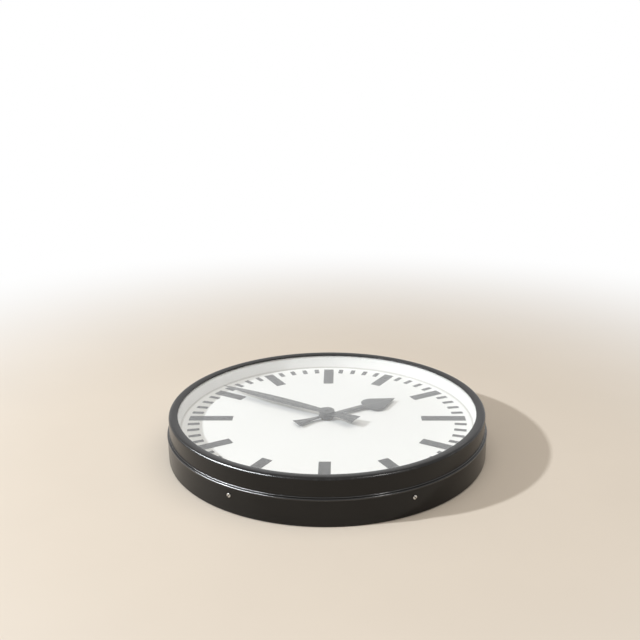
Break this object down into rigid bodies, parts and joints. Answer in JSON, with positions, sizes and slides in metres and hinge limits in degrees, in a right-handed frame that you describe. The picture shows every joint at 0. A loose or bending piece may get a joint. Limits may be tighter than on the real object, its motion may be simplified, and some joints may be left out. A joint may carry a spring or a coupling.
{
  "type": "station clock",
  "caption": "Round glazed station clock: black two-part spun case, white dial with bar markers, spade hour hand and lance minute hand on a geared impulse movement.",
  "frame": {"origin": "on the hand axis, at the flat back of the case", "axes": "+Z out of the dial, +Y to 12 o'clock, +X to 3 o'clock"},
  "size_m": [0.6378, 0.6346, 0.0892],
  "materials": {
    "case_paint": "satin black stove enamel",
    "dial_white": "white lacquer",
    "mark_black": "black paint layer",
    "hand_black": "matt black lacquer",
    "window_glass": "flat clear glass",
    "seal_rubber": "matt",
    "nickel_screw": "nickel plated",
    "zinc_steel": "zinc plated",
    "brass": "turned",
    "arbor_steel": "turned",
    "stator_iron": "laminated",
    "winding_copper": "enamelled wire",
    "insulator": "moulded"
  },
  "bodies": {
    "case": {"rear_case": "case_paint", "front_ring": "case_paint", "dial_plate": "dial_white", "dial_ring": "dial_white", "hour_markers": "mark_black", "minute_markers": "mark_black", "glass_pane": "window_glass", "glass_gasket": "seal_rubber", "cable_inlet": "seal_rubber", "side_screws": "nickel_screw", "side_spacers": "zinc_steel", "side_nuts": "zinc_steel", "hanger_plate": "zinc_steel", "hanger_rivets": "zinc_steel", "glass_clips": "zinc_steel", "dial_pillars": "zinc_steel", "dial_screws": "zinc_steel", "frame_posts": "zinc_steel", "frame_screws": "zinc_steel", "yoke_spacers": "zinc_steel", "yoke_screws": "zinc_steel", "stud_clip": "zinc_steel", "movement_back_plate": "brass", "movement_front_plate": "brass", "back_bushes": "brass", "front_bushes": "brass", "frame_pillars": "brass", "terminal_screws": "brass", "minute_wheel_stud": "arbor_steel", "stator_yoke": "stator_iron", "coil_winding": "winding_copper", "coil_bobbin": "insulator", "terminal_block": "insulator", "coil_leads": "insulator"},
    "minute_hand_train": {"minute_hand": "hand_black", "minute_hand_collet": "hand_black", "hand_nut": "hand_black", "centre_arbor": "arbor_steel", "centre_wheel": "brass", "cannon_pinion": "brass"},
    "hour_hand_train": {"hour_hand": "hand_black", "hour_hand_collet": "hand_black", "hour_wheel": "brass"},
    "motion_wheel": {"minute_wheel": "brass"},
    "intermediate_train": {"intermediate_arbor": "arbor_steel", "intermediate_wheel": "brass"},
    "rotor": {"rotor_arbor": "arbor_steel", "rotor_magnet": "arbor_steel"}
  },
  "joints": [
    {"name": "minute_hand_turn", "type": "hinge", "parent": "case", "child": "minute_hand_train", "pos_m": [0, 0, 0.054], "axis": [0, 0, -1], "continuous": true},
    {"name": "hour_hand_turn", "type": "hinge", "parent": "case", "child": "hour_hand_train", "pos_m": [0, 0, 0.054], "axis": [0, 0, -1], "continuous": true},
    {"name": "motion_wheel_turn", "type": "hinge", "parent": "case", "child": "motion_wheel", "pos_m": [0.024, 0, 0.042], "axis": [0, 0, -1], "continuous": true},
    {"name": "intermediate_turn", "type": "hinge", "parent": "case", "child": "intermediate_train", "pos_m": [-0.03, 0, 0.028], "axis": [0, 0, -1], "continuous": true},
    {"name": "rotor_turn", "type": "hinge", "parent": "case", "child": "rotor", "pos_m": [-0.04697, -0.01697, 0.028], "axis": [0, 0, -1], "continuous": true}
  ],
  "couplings": [
    {"joint": "hour_hand_turn", "follows": "minute_hand_turn", "ratio": 0.083333},
    {"joint": "motion_wheel_turn", "follows": "minute_hand_turn", "ratio": -0.33333},
    {"joint": "intermediate_turn", "follows": "minute_hand_turn", "ratio": -5},
    {"joint": "rotor_turn", "follows": "minute_hand_turn", "ratio": 15}
  ]
}
